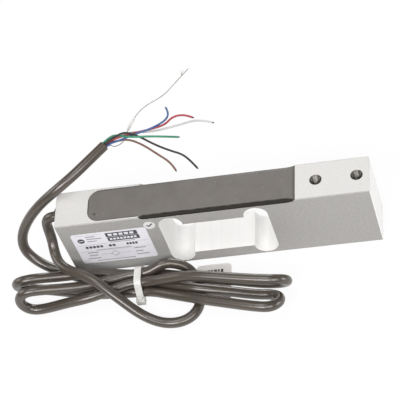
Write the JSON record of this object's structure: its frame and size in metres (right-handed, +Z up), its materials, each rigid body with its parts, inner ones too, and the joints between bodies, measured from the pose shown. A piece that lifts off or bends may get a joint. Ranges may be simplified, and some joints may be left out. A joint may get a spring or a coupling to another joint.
{
  "type": "single point load cell",
  "caption": "Aluminium bar load cell with a dog-bone window, potted strain gauges, tapped mounting holes at both ends and a tied sensor cable with stripped cores.",
  "frame": {"origin": "middle of the beam's underside, on the surface it stands on", "axes": "+X along the beam to its loaded end, +Y to the back away from the label, +Z up"},
  "size_m": [0.1795, 0.1231, 0.0545],
  "materials": {
    "milled_aluminium": "fine milled, clear anodised, matte",
    "potting_compound": "cast grey sealing compound",
    "gauge_film": "polyimide film",
    "circuit_board": "solder mask",
    "resistor_body": "ceramic chip",
    "sealant": "sealing compound",
    "cable_jacket": "satin PVC jacket",
    "tie_nylon": "natural nylon",
    "marker_film": "white film",
    "core_green": "PVC insulation",
    "core_black": "PVC insulation",
    "core_red": "PVC insulation",
    "core_white": "PVC insulation",
    "core_blue": "PVC insulation",
    "core_brown": "PVC insulation",
    "tinned_copper": "tinned strands",
    "sleeve": "clear heat-shrink sleeve",
    "label_film": "white polyester film",
    "sticker_film": "round film sticker"
  },
  "bodies": {
    "root": {"load_beam": "milled_aluminium", "gauge_potting": "potting_compound", "gauge_fixed_front": "gauge_film", "gauge_fixed_back": "gauge_film", "gauge_free_front": "gauge_film", "gauge_free_back": "gauge_film", "terminal_board": "circuit_board", "span_resistor": "resistor_body", "zero_resistor": "resistor_body", "cable_entry_seal": "sealant", "cable_lead": "cable_jacket", "cable_hank": "cable_jacket", "cable_tail": "cable_jacket", "cable_tie": "tie_nylon", "cable_marker": "marker_film", "core_green": "core_green", "core_black": "core_black", "core_red": "core_red", "core_white": "core_white", "core_blue": "core_blue", "core_brown": "core_brown", "drain_wire": "tinned_copper", "drain_sleeve": "sleeve", "rating_label": "label_film", "inspection_sticker": "sticker_film"}
  },
  "joints": []
}
